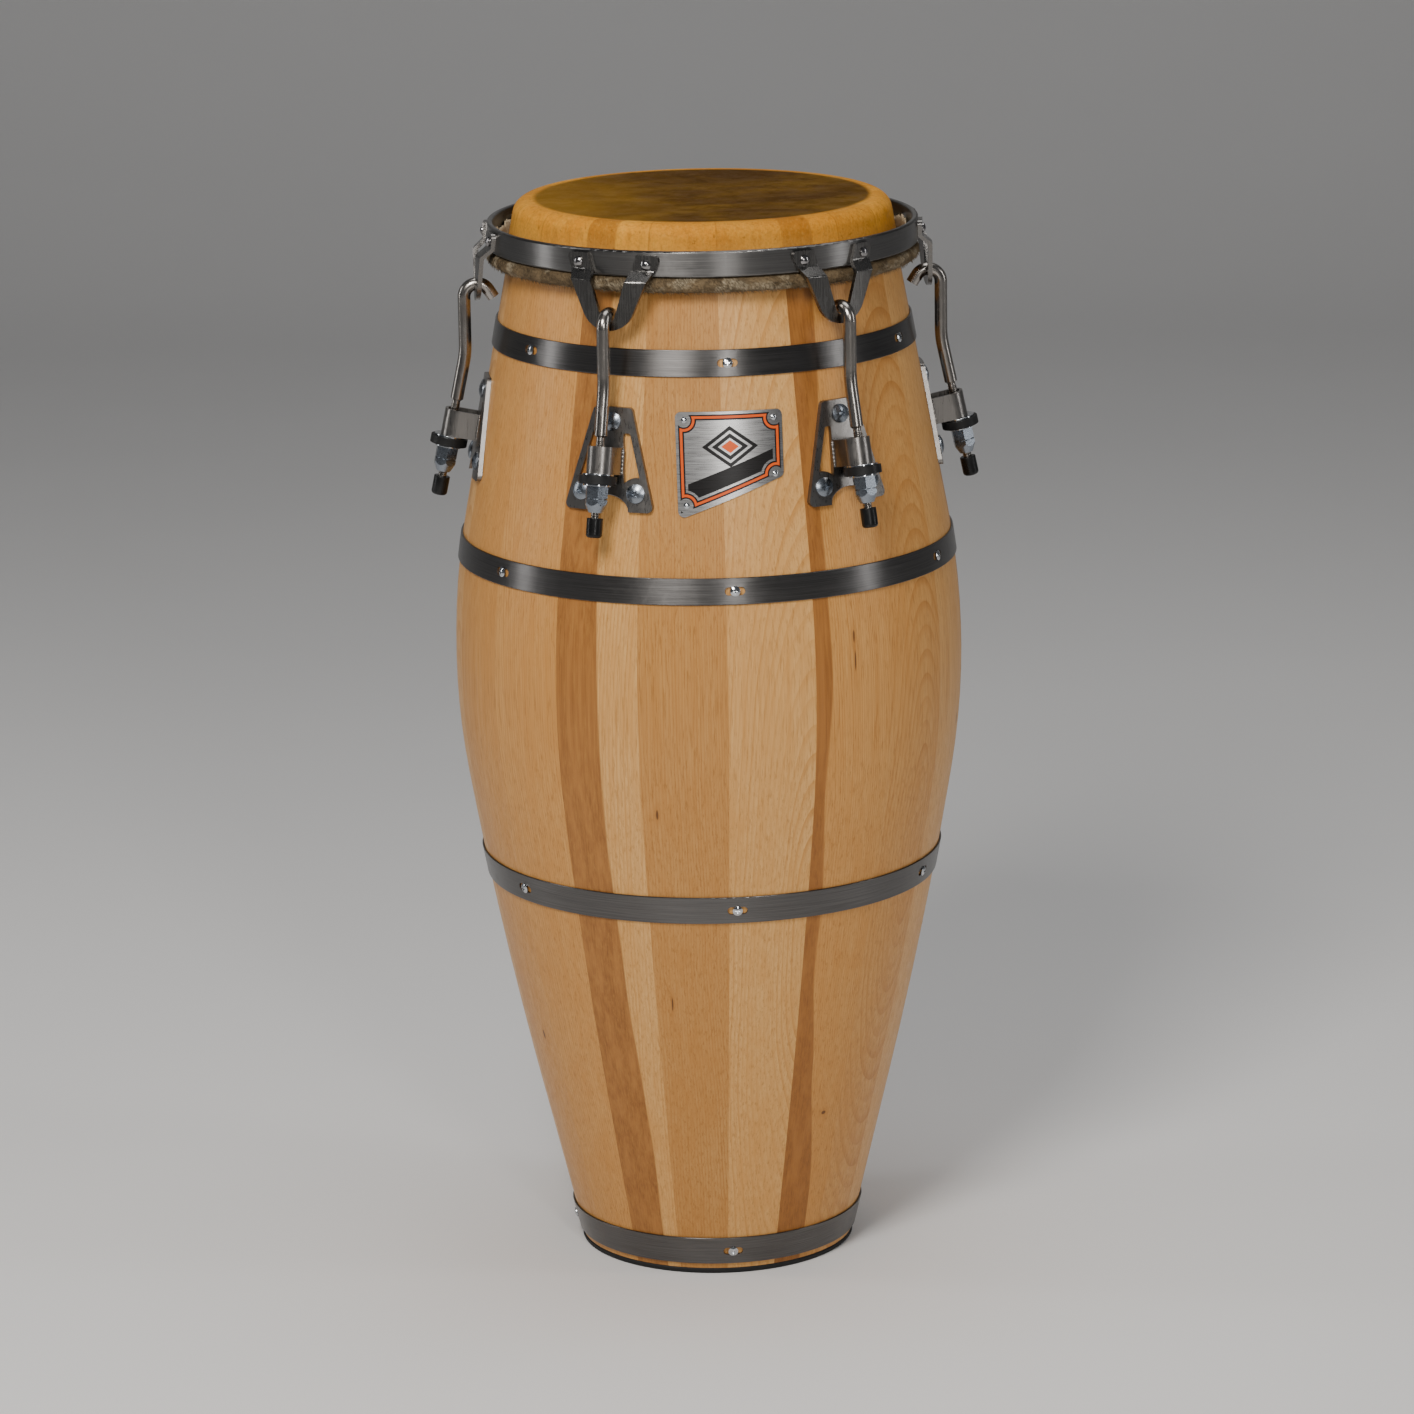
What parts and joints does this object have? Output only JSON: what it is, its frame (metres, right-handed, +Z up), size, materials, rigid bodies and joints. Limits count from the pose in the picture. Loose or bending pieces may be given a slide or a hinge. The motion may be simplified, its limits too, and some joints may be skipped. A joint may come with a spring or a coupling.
{
  "type": "conga drum",
  "caption": "Tall barrel-shaped hand drum: staved hardwood shell, steel bands, and a hide head pulled down by a rim with bent tuning hooks and nuts.",
  "frame": {"origin": "centre of the base on the floor", "axes": "+Z up along the drum's axis; the badge faces -Y"},
  "size_m": [0.3894, 0.3598, 0.762],
  "materials": {
    "stave_wood": "satin lacquer over straight grain",
    "hook_steel": "polished dark plating",
    "nut_steel": "zinc-bright plating",
    "cap_rubber": "matte",
    "ring_rubber": "matte",
    "band_steel": "dark, brushed along the band",
    "screw_chrome": "bright",
    "badge_metal": "fine brushed, pinstripe border",
    "bracket_steel": "dark, brushed",
    "bolt_chrome": "zinc-bright plating",
    "hide": "translucent rawhide, satin",
    "washer_chrome": "bright",
    "washer_rubber": "matte",
    "rim_steel": "dark, brushed along the rim",
    "ear_steel": "dark, satin",
    "rivet_steel": "dark, polished",
    "hoop_steel": "plain wire",
    "roll_hide": "hide with short hair left on"
  },
  "bodies": {
    "shell": {"stave_01": "stave_wood", "stave_02": "stave_wood", "stave_03": "stave_wood", "stave_04": "stave_wood", "stave_05": "stave_wood", "stave_06": "stave_wood", "stave_07": "stave_wood", "stave_08": "stave_wood", "stave_09": "stave_wood", "stave_10": "stave_wood", "stave_11": "stave_wood", "stave_12": "stave_wood", "stave_13": "stave_wood", "stave_14": "stave_wood", "stave_15": "stave_wood", "stave_16": "stave_wood", "stave_17": "stave_wood", "stave_18": "stave_wood", "base_ring": "ring_rubber", "top_band": "band_steel", "upper_belly_band": "band_steel", "lower_belly_band": "band_steel", "foot_band": "band_steel", "band_screws": "screw_chrome", "badge_plate": "badge_metal", "badge_pins": "screw_chrome", "lug_brackets": "bracket_steel", "bracket_bolts": "bolt_chrome", "inner_washers": "bolt_chrome", "inner_nuts": "bolt_chrome", "drumhead": "hide", "steel_washers": "washer_chrome", "rubber_washers": "washer_rubber"},
    "crown": {"rim": "rim_steel", "ears": "ear_steel", "ear_rivets": "rivet_steel", "flesh_hoop": "hoop_steel", "skin_roll": "roll_hide"},
    "hook_1": {"tuning_hook_1": "hook_steel", "hook_cap_1": "cap_rubber"},
    "nut_1": {"tuning_nut_1": "nut_steel"},
    "hook_2": {"tuning_hook_2": "hook_steel", "hook_cap_2": "cap_rubber"},
    "nut_2": {"tuning_nut_2": "nut_steel"},
    "hook_3": {"tuning_hook_3": "hook_steel", "hook_cap_3": "cap_rubber"},
    "nut_3": {"tuning_nut_3": "nut_steel"},
    "hook_4": {"tuning_hook_4": "hook_steel", "hook_cap_4": "cap_rubber"},
    "nut_4": {"tuning_nut_4": "nut_steel"},
    "hook_5": {"tuning_hook_5": "hook_steel", "hook_cap_5": "cap_rubber"},
    "nut_5": {"tuning_nut_5": "nut_steel"},
    "hook_6": {"tuning_hook_6": "hook_steel", "hook_cap_6": "cap_rubber"},
    "nut_6": {"tuning_nut_6": "nut_steel"}
  },
  "joints": [
    {"name": "rim_slide", "type": "slide", "parent": "shell", "child": "crown", "axis": [0, 0, -1], "range_m": [-0.003, 0.008]},
    {"name": "hook_1_slide", "type": "slide", "parent": "shell", "child": "hook_1", "axis": [0.104, -0.1801, -0.9781], "range_m": [-0.0031, 0.0082]},
    {"name": "nut_1_turn", "type": "hinge", "parent": "shell", "child": "nut_1", "pos_m": [0.08935, -0.15476, 0.6072], "axis": [-0.104, 0.1801, 0.9781], "range_deg": [-870, 2320]},
    {"name": "hook_2_slide", "type": "slide", "parent": "shell", "child": "hook_2", "axis": [0.2079, 0, -0.9781], "range_m": [-0.0031, 0.0082]},
    {"name": "nut_2_turn", "type": "hinge", "parent": "shell", "child": "nut_2", "pos_m": [0.1787, 0, 0.6072], "axis": [-0.2079, 0, 0.9781], "range_deg": [-870, 2320]},
    {"name": "hook_3_slide", "type": "slide", "parent": "shell", "child": "hook_3", "axis": [0.104, 0.1801, -0.9781], "range_m": [-0.0031, 0.0082]},
    {"name": "nut_3_turn", "type": "hinge", "parent": "shell", "child": "nut_3", "pos_m": [0.08935, 0.15476, 0.6072], "axis": [-0.104, -0.1801, 0.9781], "range_deg": [-870, 2320]},
    {"name": "hook_4_slide", "type": "slide", "parent": "shell", "child": "hook_4", "axis": [-0.104, 0.1801, -0.9781], "range_m": [-0.0031, 0.0082]},
    {"name": "nut_4_turn", "type": "hinge", "parent": "shell", "child": "nut_4", "pos_m": [-0.08935, 0.15476, 0.6072], "axis": [0.104, -0.1801, 0.9781], "range_deg": [-870, 2320]},
    {"name": "hook_5_slide", "type": "slide", "parent": "shell", "child": "hook_5", "axis": [-0.2079, 0, -0.9781], "range_m": [-0.0031, 0.0082]},
    {"name": "nut_5_turn", "type": "hinge", "parent": "shell", "child": "nut_5", "pos_m": [-0.1787, 0, 0.6072], "axis": [0.2079, 0, 0.9781], "range_deg": [-870, 2320]},
    {"name": "hook_6_slide", "type": "slide", "parent": "shell", "child": "hook_6", "axis": [-0.104, -0.1801, -0.9781], "range_m": [-0.0031, 0.0082]},
    {"name": "nut_6_turn", "type": "hinge", "parent": "shell", "child": "nut_6", "pos_m": [-0.08935, -0.15476, 0.6072], "axis": [0.104, 0.1801, 0.9781], "range_deg": [-870, 2320]}
  ],
  "couplings": [
    {"joint": "hook_1_slide", "follows": "rim_slide", "ratio": 1.0223},
    {"joint": "nut_1_turn", "follows": "rim_slide", "rad_per_m": 5057.9},
    {"joint": "hook_2_slide", "follows": "rim_slide", "ratio": 1.0223},
    {"joint": "nut_2_turn", "follows": "rim_slide", "rad_per_m": 5057.9},
    {"joint": "hook_3_slide", "follows": "rim_slide", "ratio": 1.0223},
    {"joint": "nut_3_turn", "follows": "rim_slide", "rad_per_m": 5057.9},
    {"joint": "hook_4_slide", "follows": "rim_slide", "ratio": 1.0223},
    {"joint": "nut_4_turn", "follows": "rim_slide", "rad_per_m": 5057.9},
    {"joint": "hook_5_slide", "follows": "rim_slide", "ratio": 1.0223},
    {"joint": "nut_5_turn", "follows": "rim_slide", "rad_per_m": 5057.9},
    {"joint": "hook_6_slide", "follows": "rim_slide", "ratio": 1.0223},
    {"joint": "nut_6_turn", "follows": "rim_slide", "rad_per_m": 5057.9}
  ]
}
